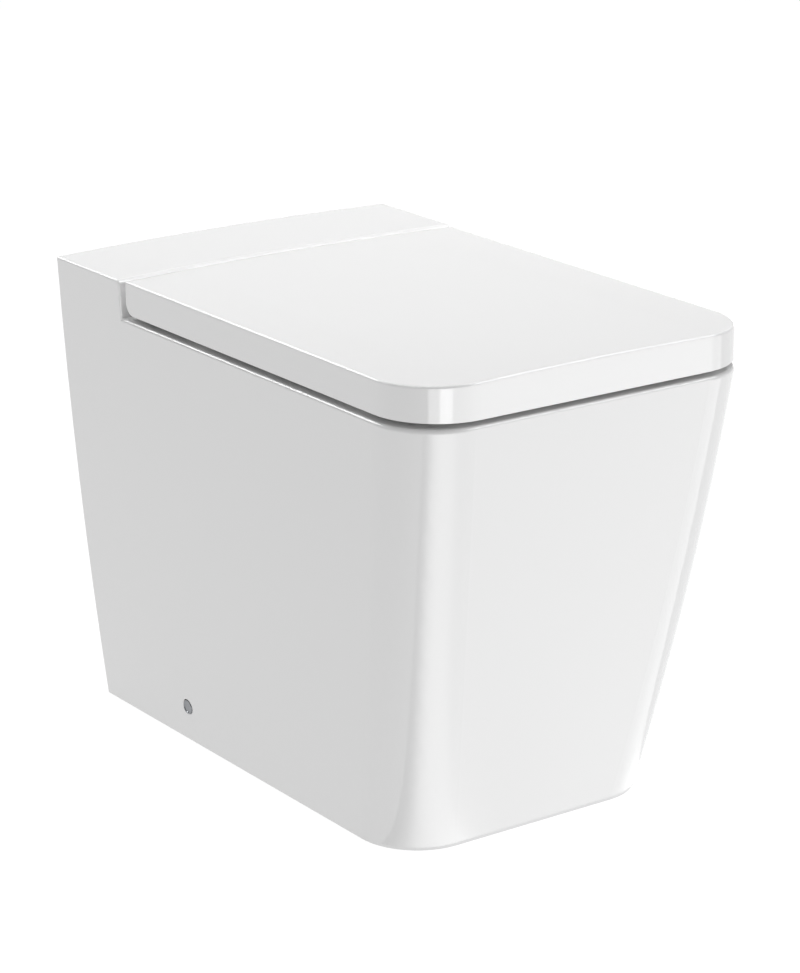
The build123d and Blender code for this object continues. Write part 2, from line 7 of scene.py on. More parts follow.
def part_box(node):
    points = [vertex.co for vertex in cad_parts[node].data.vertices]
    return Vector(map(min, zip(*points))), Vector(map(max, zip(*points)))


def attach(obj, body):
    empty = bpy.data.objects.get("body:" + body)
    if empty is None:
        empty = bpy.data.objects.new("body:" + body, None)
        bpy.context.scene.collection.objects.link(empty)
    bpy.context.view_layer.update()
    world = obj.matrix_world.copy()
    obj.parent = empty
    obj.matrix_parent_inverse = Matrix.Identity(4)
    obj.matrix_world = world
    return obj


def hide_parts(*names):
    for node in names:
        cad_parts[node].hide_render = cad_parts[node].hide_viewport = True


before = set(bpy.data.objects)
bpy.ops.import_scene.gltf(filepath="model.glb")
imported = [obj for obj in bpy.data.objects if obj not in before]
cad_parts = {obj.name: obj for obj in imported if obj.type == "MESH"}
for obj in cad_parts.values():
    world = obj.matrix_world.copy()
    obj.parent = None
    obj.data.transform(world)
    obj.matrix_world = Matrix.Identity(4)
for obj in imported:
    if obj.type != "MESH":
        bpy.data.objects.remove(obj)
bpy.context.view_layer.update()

# The casting: skirt, deck and ledge, bowl, trapway and flush horn.
# Vitreous china, slip-cast in plaster moulds, joined as soft clay, sprayed with white glaze and fired once.
# The foot and the wall face are wiped clean of glaze, and the inside gets only a thin coat.
mm = 0.001
wall_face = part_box("pan_shell")[1][1]
deck_under = 388 * mm
ledge_face = 180 * mm
trap_crest = 91 * mm
thinning_starts = trap_crest - 15 * mm
thinning_ends = trap_crest + 35 * mm
wiped_edge = 0.6 * mm
peel_width = 7 * mm
clay_grain = 1.2 * mm
coat_clouds = 60 * mm
glaze_ior = 1.52
thin_roughness = (0.25, 0.5)
clay_roughness = 0.75
glaze_white = "#E7E7E7"
glaze_thin = "#DCD9D2"
fired_clay = "#CFC8BB"

# How squarely a wiped face looks at the floor or the wall, and an underside at the floor, and how far the
# normal of an inner face has to lean from its place towards the pan's middle line.
flat_facing = 0.9
underside_facing = 0.6
inward_reach = -4 * mm


def linear(code):
    """A linear colour from an sRGB hex code."""
    shares = [int(code[i:i + 2], 16) / 255 for i in (1, 3, 5)]
    return [s / 12.92 if s <= 0.04045 else ((s + 0.055) / 1.055) ** 2.4 for s in shares] + [1.0]


def add(tree, kind, inputs, **settings):
    """Adds a node with its settings. Each input is a value, or the socket that feeds it."""
    made = tree.nodes.new(kind)
    for name, value in settings.items():
        setattr(made, name, value)
    for name, value in inputs.items():
        if isinstance(value, bpy.types.NodeSocket):
            tree.links.new(value, made.inputs[name])
        else:
            made.inputs[name].default_value = value
    return made


def new_material(name, sockets):
    """A material with its shader's own sockets set, with its tree, shader and Object coordinates."""
    made = bpy.data.materials.new(name)
    made.use_nodes = True
    tree = made.node_tree
    shader = tree.nodes["Principled BSDF"]
    for socket, value in sockets.items():
        shader.inputs[socket].default_value = value
    return made, tree, shader, add(tree, "ShaderNodeTexCoord", {}).outputs["Object"]


def behind_skirt(tree, split, normal):
    """1 on the skirt's inner face and under the deck: it faces the pan's middle line, or it faces down."""
    across = add(tree, "ShaderNodeMath", {0: split.outputs["X"], 1: normal.outputs["X"]},
                 operation="MULTIPLY")
    outward = add(tree, "ShaderNodeMath", {
        0: split.outputs["Y"], 1: normal.outputs["Y"], 2: across.outputs[0]}, operation="MULTIPLY_ADD")
    facing_in = add(tree, "ShaderNodeMath", {0: outward.outputs[0], 1: inward_reach}, operation="LESS_THAN")
    facing_down = add(tree, "ShaderNodeMath", {0: normal.outputs["Z"], 1: -underside_facing},
                      operation="LESS_THAN")
    either = add(tree, "ShaderNodeMath", {0: facing_in.outputs[0], 1: facing_down.outputs[0]},
                 operation="MAXIMUM")
    low = add(tree, "ShaderNodeMath", {0: split.outputs["Z"], 1: deck_under}, operation="LESS_THAN")
    ledge = add(tree, "ShaderNodeMath", {0: split.outputs["Y"], 1: ledge_face}, operation="GREATER_THAN")
    below = add(tree, "ShaderNodeMath", {0: low.outputs[0], 1: ledge.outputs[0]}, operation="MAXIMUM")
    return add(tree, "ShaderNodeMath", {0: either.outputs[0], 1: below.outputs[0]},
               operation="MULTIPLY").outputs[0]


def past_the_crest(tree, split, normal):
    """0 on the side that the bowl shows, and 1 behind the trap's crest, where the coat gets thin."""
    return add(tree, "ShaderNodeMapRange", {
        "Value": split.outputs["Y"], "From Min": thinning_starts, "From Max": thinning_ends}).outputs[0]


def glazed(name, gloss, peel_height, thinned=None):
    """Fired glaze: a hard clear coat with a faint orange peel, duller and creamier where it is thinned.

    It ends in bare, grainy clay where the casting was wiped before the kiln, on its foot and its wall face.
    """
    made, tree, shader, place = new_material(name, {"IOR": glaze_ior})
    split = add(tree, "ShaderNodeSeparateXYZ", {"Vector": place})
    normal = add(tree, "ShaderNodeSeparateXYZ", {
        "Vector": add(tree, "ShaderNodeTexCoord", {}).outputs["Normal"]})
    down = add(tree, "ShaderNodeMath", {0: normal.outputs["Z"], 1: -flat_facing}, operation="LESS_THAN")
    foot = add(tree, "ShaderNodeMath", {0: split.outputs["Z"], 1: wiped_edge}, operation="LESS_THAN")
    foot = add(tree, "ShaderNodeMath", {0: foot.outputs[0], 1: down.outputs[0]}, operation="MULTIPLY")
    back = add(tree, "ShaderNodeMath", {0: normal.outputs["Y"], 1: flat_facing}, operation="GREATER_THAN")
    rear = add(tree, "ShaderNodeMath", {0: split.outputs["Y"], 1: wall_face - wiped_edge},
               operation="GREATER_THAN")
    rear = add(tree, "ShaderNodeMath", {0: rear.outputs[0], 1: back.outputs[0]}, operation="MULTIPLY")
    bare = add(tree, "ShaderNodeMath", {0: foot.outputs[0], 1: rear.outputs[0]}, operation="MAXIMUM")
    thin = thinned(tree, split, normal) if thinned else 0.0
    coat = add(tree, "ShaderNodeMix", {"Factor": thin, 6: linear(glaze_white), 7: linear(glaze_thin)},
               data_type="RGBA")
    colour = add(tree, "ShaderNodeMix", {
        "Factor": bare.outputs[0], 6: coat.outputs[2], 7: linear(fired_clay)}, data_type="RGBA")
    tree.links.new(colour.outputs[2], shader.inputs["Base Color"])
    clouds = add(tree, "ShaderNodeTexNoise", {"Vector": place, "Scale": 1 / coat_clouds, "Detail": 3.0})
    thin_gloss = add(tree, "ShaderNodeMapRange", {
        "Value": clouds.outputs[0], "To Min": thin_roughness[0], "To Max": thin_roughness[1]})
    rough = add(tree, "ShaderNodeMix", {"Factor": thin, 2: gloss, 3: thin_gloss.outputs[0]})
    rough = add(tree, "ShaderNodeMix", {"Factor": bare.outputs[0], 2: rough.outputs[0], 3: clay_roughness})
    tree.links.new(rough.outputs[0], shader.inputs["Roughness"])
    peel = add(tree, "ShaderNodeTexNoise", {"Vector": place, "Scale": 1 / peel_width, "Detail": 2.0})
    grain = add(tree, "ShaderNodeTexNoise", {"Vector": place, "Scale": 1 / clay_grain, "Detail": 4.0})
    height = add(tree, "ShaderNodeMix", {"Factor": bare.outputs[0], 2: peel.outputs[0], 3: grain.outputs[0]})
    bump = add(tree, "ShaderNodeBump", {
        "Height": height.outputs[0], "Strength": 0.5, "Distance": peel_height})
    tree.links.new(bump.outputs[0], shader.inputs["Normal"])
    return made


def dress(node_name, material):
    """Gives a node's own mesh its material."""
    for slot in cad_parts[node_name].material_slots:
        slot.material = material


# Glazed china is a hard, wet-looking white. Its peel only bends the edges of what it mirrors.
skirt_glaze = glazed("glazed vitreous china", gloss=0.09, peel_height=0.02 * mm, thinned=behind_skirt)
bowl_glaze = glazed("glazed vitreous china, bowl", gloss=0.07, peel_height=0.03 * mm)
inner_glaze = glazed("glazed vitreous china, waterways", gloss=0.09, peel_height=0.05 * mm,
                     thinned=past_the_crest)
dress("pan_shell", skirt_glaze)
dress("pan_bowl", bowl_glaze)
dress("pan_trapway", inner_glaze)
dress("pan_flush_horn", inner_glaze)

# The inlet seal: a sleeve of black EPDM rubber, moulded with fins that grip the flush pipe.
# It is pushed into the flush horn until its lip meets the horn's end.
rearward = (0, 1, 0)
up = (0, 0, 1)
seal_outer = 27.4 * mm
seal_bore = 22 * mm
seal_nose = 1 * mm
seal_lead_in = 1.5 * mm
seal_mouth = 2 * mm
lip_depth = 4 * mm
lip_radius = (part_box("inlet_seal")[1][0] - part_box("inlet_seal")[0][0]) / 2
lip_round = 1.2 * mm
fin_count = 3
fin_height = 1.6 * mm
fin_slope = 2.6 * mm
fin_root = 3 * mm
fin_tip = 3.2 * mm
first_fin_depth = 6 * mm
fin_margin = 8 * mm
rubber_black = "#1B1B1D"
bloom_grain = 1.5 * mm

# Edges are broken by one of three sizes: fine on metal, soft on mouldings, and round on heads and rubber.
fine_edge = 0.3 * mm
soft_edge = 0.5 * mm
round_edge = 0.8 * mm


def end_of(node_name, along):
    """The middle of the end of a node's box that a direction starts from, and the box's length that way."""
    axis = max(range(3), key=lambda i: abs(along[i]))
    low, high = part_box(node_name)
    start = (Vector(low) + Vector(high)) / 2
    start[axis] = low[axis] if along[axis] > 0 else high[axis]
    return start, high[axis] - low[axis]


def pointed(start, along):
    """The placing that takes the origin to a start and the Z axis to a direction."""
    turn = Vector(up).rotation_difference(Vector(along)).to_matrix().to_4x4()
    return Matrix.Translation(start) @ turn


def lofted(made, rows, caps=()):
    """Joins equal rows of vertices with faces, closes the caps, and turns all faces outwards."""
    for row, following in zip(rows, rows[1:]):
        for k in range(len(row)):
            after = (k + 1) % len(row)
            corners = [row[k], row[after], following[after], following[k]]
            made.faces.new([v for i, v in enumerate(corners) if v not in corners[:i]])
    for row in caps:
        made.faces.new(row)
    bmesh.ops.recalc_face_normals(made, faces=made.faces)
    return made


def turned(outline, start, along, steps=56):
    """A mesh turned from (radius, distance) points about an axis, closed at its poles or as a ring."""
    made = bmesh.new()
    place = pointed(start, along)
    rows = []
    for radius, distance in outline:
        if radius == 0:
            rows.append([made.verts.new(place @ Vector((0, 0, distance)))] * steps)
            continue
        angles = [2 * pi * k / steps for k in range(steps)]
        rows.append([made.verts.new(place @ Vector((radius * cos(angle), radius * sin(angle), distance)))
                     for angle in angles])
    if outline[0][0] > 0:
        rows.append(rows[0])
    return lofted(made, rows)


def finished(name, parts, material, body, nodes, sharp=35):
    """One object from its meshes, smooth up to a sharp angle, riding on its body in its node's place."""
    joined = bmesh.new()
    for part in parts:
        if isinstance(part, bmesh.types.BMesh):
            loose = bpy.data.meshes.new("loose")
            part.to_mesh(loose)
            part.free()
            part = loose
        joined.from_mesh(part)
        bpy.data.meshes.remove(part)
    mesh = bpy.data.meshes.new(name)
    joined.to_mesh(mesh)
    joined.free()
    mesh.shade_smooth()
    mesh.set_sharp_from_angle(angle=radians(sharp))
    mesh.materials.clear()
    mesh.materials.append(material)
    piece = bpy.data.objects.new(name, mesh)
    bpy.context.scene.collection.objects.link(piece)
    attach(piece, body)
    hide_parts(*nodes)
    return piece


def textured(tree, shader, pattern, roughness, strength=0.0, relief=0.0):
    """Lets a pattern vary the gloss between two roughness values, and stands it up as a fine relief."""
    dull = add(tree, "ShaderNodeMapRange", {
        "Value": pattern.outputs[0], "To Min": roughness[0], "To Max": roughness[1]})
    tree.links.new(dull.outputs[0], shader.inputs["Roughness"])
    if relief > 0:
        skin = add(tree, "ShaderNodeBump", {
            "Height": pattern.outputs[0], "Strength": strength, "Distance": relief})
        tree.links.new(skin.outputs[0], shader.inputs["Normal"])


# Black rubber is matt, with a fine bloom that catches the light on its edges.
rubber, tree, shader, place = new_material("black EPDM rubber", {
    "Base Color": linear(rubber_black), "IOR": 1.5})
bloom = add(tree, "ShaderNodeTexNoise", {"Vector": place, "Scale": 1 / bloom_grain, "Detail": 5.0})
textured(tree, shader, bloom, (0.45, 0.7), 0.4, 0.05 * mm)

seal_start, seal_length = end_of("inlet_seal", rearward)
lip_start = seal_length - lip_depth
fin_pitch = (seal_length - fin_margin) / fin_count
seal_outline = [(seal_bore + seal_nose, 0), (seal_outer - round_edge, 0), (seal_outer, seal_lead_in),
                (seal_outer, lip_start), (lip_radius - round_edge, lip_start),
                (lip_radius, lip_start + round_edge), (lip_radius, seal_length - lip_round),
                (lip_radius - lip_round, seal_length), (seal_bore + seal_mouth, seal_length),
                (seal_bore, seal_length - seal_mouth)]
for fin in range(fin_count):
    top = seal_length - first_fin_depth - fin * fin_pitch
    seal_outline += [(seal_bore, top), (seal_bore - fin_height, top - fin_slope),
                     (seal_bore - fin_height, top - fin_tip), (seal_bore, top - fin_root)]
finished("flush_pipe_seal", [turned(seal_outline, seal_start, rearward, 72)], rubber,
         "pan", ["inlet_seal"])

# The floor brackets: steel angles, pressed from 4 mm strip and zinc plated.
# Each is screwed to the floor inside the skirt, and the pan is drawn down on to it from the side.
sides = (("left", -1), ("right", 1))
zinc_grey = "#B9BCBE"
zinc_warm = "#BDB9A8"
zinc_patch = 9 * mm
zinc_grain = 0.8 * mm

# Zinc plate is a bright grey metal with a soft bloom that turns faintly yellow where it was passivated.
zinc, tree, shader, place = new_material("zinc-plated steel", {"Metallic": 1.0})
patch = add(tree, "ShaderNodeTexNoise", {"Vector": place, "Scale": 1 / zinc_patch, "Detail": 4.0})
tint = add(tree, "ShaderNodeMix", {
    "Factor": patch.outputs[0], 6: linear(zinc_grey), 7: linear(zinc_warm)}, data_type="RGBA")
tree.links.new(tint.outputs[2], shader.inputs["Base Color"])
fine = add(tree, "ShaderNodeTexNoise", {"Vector": place, "Scale": 1 / zinc_grain, "Detail": 3.0})
textured(tree, shader, fine, (0.28, 0.46), 0.25, 0.03 * mm)
for side_name, side in sides:
    dress("floor_bracket_" + side_name, zinc)

# The nuts: pressed steel hexagons with turned corners, zinc plated.
# One sits behind each floor bracket, and a larger one under the deck draws each hinge down.
nut_chamfer = radians(30)
nut_land = 0.95
bore_edge = 0.4 * mm
bracket_nut_across = 10 * mm
bracket_nut_bore = 2.8 * mm
hinge_nut_across = 17 * mm
stud_hole = 3.05 * mm
rightward = (1, 0, 0)


def hexagon_nut(node_name, along, across, bore, steps=60):
    """A nut in its node's place, lofted through rings, with its corners turned off at both faces."""
    start, thickness = end_of(node_name, along)
    place = pointed(start, along)
    land = across / 2 * nut_land
    made = bmesh.new()
    rows = [[] for _ in range(8)]
    for k in range(steps):
        angle = 2 * pi * k / steps
        corner = across / 2 / cos((angle % (pi / 3)) - pi / 6)
        drop = (corner - land) * tan(nut_chamfer)
        ring = ((bore, bore_edge), (bore + bore_edge, 0), (land, 0), (corner, drop),
                (corner, thickness - drop), (land, thickness), (bore + bore_edge, thickness),
                (bore, thickness - bore_edge))
        for row, (radius, distance) in zip(rows, ring):
            row.append(made.verts.new(place @ Vector((
                radius * cos(angle), radius * sin(angle), distance))))
    return lofted(made, rows + rows[:1])


for side_name, side in sides:
    node = "bracket_nut_" + side_name
    finished(node + "_turned", [hexagon_nut(node, rightward, bracket_nut_across, bracket_nut_bore)],
             zinc, "pan", [node], 25)
    node = "hinge_nut_" + side_name
    finished(node + "_turned", [hexagon_nut(node, up, hinge_nut_across, stud_hole)],
             zinc, "pan", [node], 25)

# The hinge studs and the side screws: rolled threads on steel wire, zinc plated.
# A stud hangs from each hinge post through the deck, and each side screw ties the skirt to its bracket.
stud_radius = 3 * mm
stud_pitch = 1.0 * mm
screw_radius = 2.75 * mm
screw_pitch = 0.9 * mm
screw_head_height = 3 * mm
screw_head_radius = 4.5 * mm
under_head_edge = 0.6 * mm
socket_radius = 2 * mm
socket_depth = 1.8 * mm
socket_cone = 0.6 * mm
points_in_a_turn = 20
tooth_sides = 4
core_sides = 24

thread = bpy.data.node_groups.new("rolled thread", "GeometryNodeTree")
for label, kind in (("Length", "NodeSocketFloat"), ("Radius", "NodeSocketFloat"),
                    ("Pitch", "NodeSocketFloat"), ("Metal", "NodeSocketMaterial")):
    thread.interface.new_socket(name=label, in_out="INPUT", socket_type=kind)
thread.interface.new_socket(name="Geometry", in_out="OUTPUT", socket_type="NodeSocketGeometry")
given = add(thread, "NodeGroupInput", {})
turns = add(thread, "ShaderNodeMath", {0: given.outputs["Length"], 1: given.outputs["Pitch"]},
            operation="DIVIDE")
root = add(thread, "ShaderNodeMath", {0: given.outputs["Pitch"], 1: -0.5, 2: given.outputs["Radius"]},
           operation="MULTIPLY_ADD")
spiral = add(thread, "GeometryNodeCurveSpiral", {
    "Resolution": points_in_a_turn, "Rotations": turns.outputs[0], "Start Radius": root.outputs[0],
    "End Radius": root.outputs[0], "Height": given.outputs["Length"]})
ridge = add(thread, "ShaderNodeMath", {0: given.outputs["Pitch"], 1: 0.5}, operation="MULTIPLY")
tooth = add(thread, "GeometryNodeCurvePrimitiveCircle", {
    "Resolution": tooth_sides, "Radius": ridge.outputs[0]})
upright = add(thread, "GeometryNodeSetCurveNormal", {"Curve": spiral.outputs[0]}, mode="Z_UP")
helix = add(thread, "GeometryNodeCurveToMesh", {
    "Curve": upright.outputs[0], "Profile Curve": tooth.outputs[0], "Fill Caps": True})
tip = add(thread, "ShaderNodeCombineXYZ", {"Z": given.outputs["Length"]})
centre_line = add(thread, "GeometryNodeCurvePrimitiveLine", {"End": tip.outputs[0]})
core_circle = add(thread, "GeometryNodeCurvePrimitiveCircle", {
    "Resolution": core_sides, "Radius": root.outputs[0]})
core = add(thread, "GeometryNodeCurveToMesh", {
    "Curve": centre_line.outputs[0], "Profile Curve": core_circle.outputs[0], "Fill Caps": True})
both = add(thread, "GeometryNodeJoinGeometry", {"Geometry": helix.outputs[0]})
thread.links.new(core.outputs[0], both.inputs["Geometry"])
real = add(thread, "GeometryNodeRealizeInstances", {"Geometry": both.outputs[0]})
plated = add(thread, "GeometryNodeSetMaterial", {
    "Geometry": real.outputs[0], "Material": given.outputs["Metal"]})
add(thread, "NodeGroupOutput", {"Geometry": plated.outputs[0]})


def made_by(tree, values):
    """The plain mesh that a node tree makes from its named inputs."""
    carrier = bpy.data.objects.new("carrier", bpy.data.meshes.new("carrier"))
    bpy.context.scene.collection.objects.link(carrier)
    modifier = carrier.modifiers.new("tree", "NODES")
    modifier.node_group = tree
    for item in tree.interface.items_tree:
        if item.in_out == "INPUT" and item.name in values:
            modifier[item.identifier] = values[item.name]
    evaluated = carrier.evaluated_get(bpy.context.evaluated_depsgraph_get())
    mesh = bpy.data.meshes.new_from_object(evaluated)
    carrier.modifiers.remove(modifier)
    bpy.data.objects.remove(carrier)
    return mesh


def threaded(length, radius, pitch, start, along):
    """A rolled thread from one end of a screw along its axis."""
    mesh = made_by(thread, {"Length": length, "Radius": radius, "Pitch": pitch, "Metal": zinc})
    mesh.transform(pointed(start, along))
    return mesh


for side_name, side in sides:
    outward = (side, 0, 0)
    node = "hinge_bolt_" + side_name
    start, length = end_of(node, up)
    finished("hinge_stud_" + side_name, [threaded(length, stud_radius, stud_pitch, start, up)],
             zinc, "pan", [node], 25)
    node = "side_screw_" + side_name
    start, length = end_of(node, outward)
    head_start = length - screw_head_height
    shank = threaded(head_start, screw_radius, screw_pitch, start, outward)
    head = turned([(0, head_start), (screw_head_radius - under_head_edge, head_start),
                   (screw_head_radius, head_start + under_head_edge),
                   (screw_head_radius, length - round_edge), (screw_head_radius - round_edge, length),
                   (socket_radius + fine_edge, length), (socket_radius, length - fine_edge),
                   (socket_radius, length - socket_depth), (0, length - socket_depth - socket_cone)],
                  start, outward, 48)
    finished(node + "_threaded", [shank, head], zinc, "pan", [node], 25)

# The spacer sleeves: white nylon 6, injection moulded, between each bracket and the skirt's wall.
# They centre the side screw in the ceramic's hole and take the cap's plug.
sleeve_radius = 5.9 * mm
sleeve_bore = 3 * mm
plug_seat_radius = 4.8 * mm
plug_seat_depth = 5.3 * mm
nylon_white = "#E9E6DC"
nylon_grit = 0.7 * mm

# Nylon is slightly waxy, with a satin moulded skin.
nylon, tree, shader, place = new_material("moulded nylon", {
    "Base Color": linear(nylon_white), "IOR": 1.53, "Subsurface Weight": 0.1,
    "Subsurface Radius": (0.003, 0.003, 0.002)})
grit = add(tree, "ShaderNodeTexNoise", {"Vector": place, "Scale": 1 / nylon_grit, "Detail": 3.0})
textured(tree, shader, grit, (0.34, 0.48))
for side_name, side in sides:
    outward = (side, 0, 0)
    node = "side_sleeve_" + side_name
    start, length = end_of(node, outward)
    step = length - plug_seat_depth
    sleeve = [(sleeve_bore, 0), (sleeve_radius - soft_edge, 0), (sleeve_radius, soft_edge),
              (sleeve_radius, length - fine_edge), (sleeve_radius - fine_edge, length),
              (plug_seat_radius, length), (plug_seat_radius, step), (sleeve_bore, step)]
    finished(node + "_moulded", [turned(sleeve, start, outward, 48)], nylon,
             "pan", [node])

# The side caps: brass blanks, turned and chromed, with a shallow dish in their face.
# Each hides its side screw and snaps into the spacer sleeve.
cap_radius = 7 * mm
cap_thickness = 2.4 * mm
cap_back_edge = 0.2 * mm
cap_rim_to_dish = ((0, 0.9), (0.25, 0.35), (0.8, 0), (1.5, 0.1), (2.1, 0.7), (4, 0.85))
dish_depth = 0.7 * mm
plug_radius = 4.7 * mm
plug_length = 2 * mm
plug_edge = 0.4 * mm
cap_axis_y = 128.5 * mm
cap_axis_z = 35 * mm
cap_tone = "#8C8E91"
turning_lines = 0.3 * mm

# Turned chrome is a darker mirror than a polished one, brushed by rings round each cap's own axis.
cap_chrome, tree, shader, place = new_material("turned chrome plate", {
    "Base Color": linear(cap_tone), "Metallic": 1.0})
centred = add(tree, "ShaderNodeMapping", {"Vector": place, "Location": (0.0, -cap_axis_y, -cap_axis_z)})
split = add(tree, "ShaderNodeSeparateXYZ", {"Vector": centred.outputs[0]})
flat = add(tree, "ShaderNodeCombineXYZ", {"Y": split.outputs["Y"], "Z": split.outputs["Z"]})
reach = add(tree, "ShaderNodeVectorMath", {0: flat.outputs[0]}, operation="LENGTH")
rings = add(tree, "ShaderNodeTexNoise", {
    "W": reach.outputs["Value"], "Scale": 1 / turning_lines, "Detail": 2.0}, noise_dimensions="1D")
textured(tree, shader, rings, (0.1, 0.24))
for side_name, side in sides:
    outward = (side, 0, 0)
    node = "side_cap_" + side_name
    start, length = end_of(node, outward)
    face = plug_length + cap_thickness
    cap = [(0, 0), (plug_radius - plug_edge, 0), (plug_radius, plug_edge), (plug_radius, plug_length),
           (cap_radius - cap_back_edge, plug_length), (cap_radius, plug_length + cap_back_edge)]
    cap += [(cap_radius - inset * mm, face - depth * mm) for inset, depth in cap_rim_to_dish]
    cap.append((0, face - dish_depth))
    finished(node + "_chromed", [turned(cap, start, outward, 64)], cap_chrome,
             "cap_" + side_name, [node], 30)

# The hinge bushes and washers: a rubber bush centres each stud in the deck's hole.
# A plated washer, punched from strip, spreads the nut's load under the bush.
flange_radius = 12 * mm
flange_height = 3 * mm
flange_edge = 0.6 * mm
neck_radius = 6.9 * mm
neck_lead_in = 1.5 * mm
neck_taper = 0.7 * mm
washer_radius = 13 * mm
washer_hole = 3.2 * mm
for side_name, side in sides:
    node = "hinge_bush_" + side_name
    start, height = end_of(node, up)
    bush = [(stud_hole, 0), (flange_radius - round_edge, 0), (flange_radius, round_edge),
            (flange_radius, flange_height - flange_edge), (flange_radius - flange_edge, flange_height),
            (neck_radius, flange_height), (neck_radius, height - neck_lead_in),
            (neck_radius - neck_taper, height), (stud_hole, height)]
    finished(node + "_moulded", [turned(bush, start, up, 48)], rubber, "pan", [node])
    node = "hinge_washer_" + side_name
    start, height = end_of(node, up)
    washer = [(washer_hole, 0), (washer_radius - fine_edge, 0), (washer_radius, fine_edge),
              (washer_radius, height - fine_edge), (washer_radius - fine_edge, height),
              (washer_hole, height)]
    finished(node + "_punched", [turned(washer, start, up, 56)], zinc, "pan", [node])

# The hinge bases: chromed zinc discs under the hinge posts, with a rounded upper edge.
# They cover the holes in the deck.
base_radius = 20 * mm
base_height = 3 * mm
base_upper_edge = ((0, 1.4), (0.2, 0.8), (0.7, 0.3), (1.4, 0))
chrome_tone = "#C9CBCD"
polishing_haze = 4 * mm

# Chrome is a hard mirror, a little bluish, with the finest polishing haze.
chrome, tree, shader, place = new_material("polished chrome plate", {
    "Base Color": linear(chrome_tone), "Metallic": 1.0})
haze = add(tree, "ShaderNodeTexNoise", {"Vector": place, "Scale": 1 / polishing_haze, "Detail": 3.0})
textured(tree, shader, haze, (0.05, 0.12))
for side_name, side in sides:
    node = "hinge_base_" + side_name
    start, height = end_of(node, up)
    base = [(stud_hole, 0), (base_radius - fine_edge, 0), (base_radius, fine_edge)]
    base += [(base_radius - inset * mm, base_height - depth * mm) for inset, depth in base_upper_edge]
    base.append((stud_hole, base_height))
    finished(node + "_chromed", [turned(base, start, up, 72)], chrome, "pan", [node], 30)

# The hinge posts: die-cast zinc, polished and chromed, each with a barrel for the pin.
# A pocket in the front holds the release button.
for side_name, side in sides:
    dress("hinge_barrel_" + side_name, chrome)

# The release buttons: chromed ABS, with three grip ridges across the front.
# Pressing both lets the seat and lid lift off their studs.
ridge_count = 3
ridge_height = 0.45 * mm
ridge_steps = 8
button_corner = 1.1 * mm
button_edge = 0.5 * mm
button_grey = "#8C9094"
plating_grain = 0.6 * mm

# Satin-plated ABS: a soft grey gloss, duller than the chrome round it.
button_skin, tree, shader, place = new_material("satin-plated ABS", {
    "Base Color": linear(button_grey), "Metallic": 0.9})
haze = add(tree, "ShaderNodeTexNoise", {"Vector": place, "Scale": 1 / plating_grain, "Detail": 3.0})
textured(tree, shader, haze, (0.25, 0.38))


def extruded(outline, low, high):
    """A prism from (y, z) points between two X values."""
    made = bmesh.new()
    ends = [[made.verts.new((x, y, z)) for y, z in outline] for x in (low, high)]
    return lofted(made, ends, caps=ends)


for side_name, side in sides:
    node = "release_button_" + side_name
    low, high = (Vector(corner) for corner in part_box(node))
    outline = [(high.y, high.z), (high.y, low.z), (low.y + button_corner, low.z)]
    outline += [(low.y + button_corner * (1 - sin(a)), low.z + button_corner * (1 - cos(a)))
                for a in (radians(30), radians(60), radians(90))]
    flat_height = high.z - low.z - 2 * button_corner
    for step in range(1, ridge_steps * ridge_count):
        share = step / (ridge_steps * ridge_count)
        outline.append((low.y + ridge_height * cos(pi * ridge_count * share) ** 2,
                        low.z + button_corner + flat_height * share))
    outline += [(low.y + button_corner * (1 - cos(a)), high.z - button_corner * (1 - sin(a)))
                for a in (radians(0), radians(30), radians(60), radians(90))]
    button = finished(node + "_ridged", [extruded(outline, low.x, high.x)], button_skin,
                      "button_" + side_name, [node], 30)
    edge = button.modifiers.new("edge", "BEVEL")
    edge.width = button_edge
    edge.segments = 3
    edge.limit_method = "ANGLE"
    edge.angle_limit = radians(60)

# The hinge pins: stainless steel rod, ground bright, with a turned head at the outer end.
# Both the seat's and the lid's knuckles swing on them.
pin_radius = 3 * mm
pin_head_radius = 4.5 * mm
pin_head_height = 2.2 * mm
pin_head_dome = 0.9 * mm
steel_tone = "#A7A9AB"
grinding_lines = 0.25 * mm
line_stretch = 30.0

# Ground stainless steel: fine turning lines round the pin.
steel, tree, shader, place = new_material("ground stainless steel", {
    "Base Color": linear(steel_tone), "Metallic": 1.0})
stretch = add(tree, "ShaderNodeMapping", {
    "Vector": place, "Scale": (1 / grinding_lines, line_stretch, line_stretch)})
lines = add(tree, "ShaderNodeTexNoise", {"Vector": stretch.outputs[0], "Scale": 1.0, "Detail": 2.0})
textured(tree, shader, lines, (0.18, 0.36), 0.3, 0.01 * mm)
for side_name, side in sides:
    outward = (side, 0, 0)
    node = "hinge_pin_" + side_name
    start, length = end_of(node, outward)
    head_start = length - pin_head_height
    pin = [(0, 0), (pin_radius - soft_edge, 0), (pin_radius, soft_edge), (pin_radius, head_start),
           (pin_head_radius - fine_edge, head_start), (pin_head_radius, head_start + fine_edge),
           (pin_head_radius, length - round_edge), (pin_head_radius - fine_edge, length - fine_edge),
           (pin_head_radius - pin_head_dome, length), (0, length)]
    finished(node + "_turned", [turned(pin, start, outward, 48)], steel, "pan", [node], 30)

# The dampers: sealed cartridges of black acetal with silicone grease inside.
# The hinge pin turns the vane in each, so that the seat and the lid come down slowly.
damper_radius = 5.5 * mm
vane_hole = 3.05 * mm
vane_hole_depth = 8 * mm
acetal_black = "#232427"
acetal_grit = 0.5 * mm

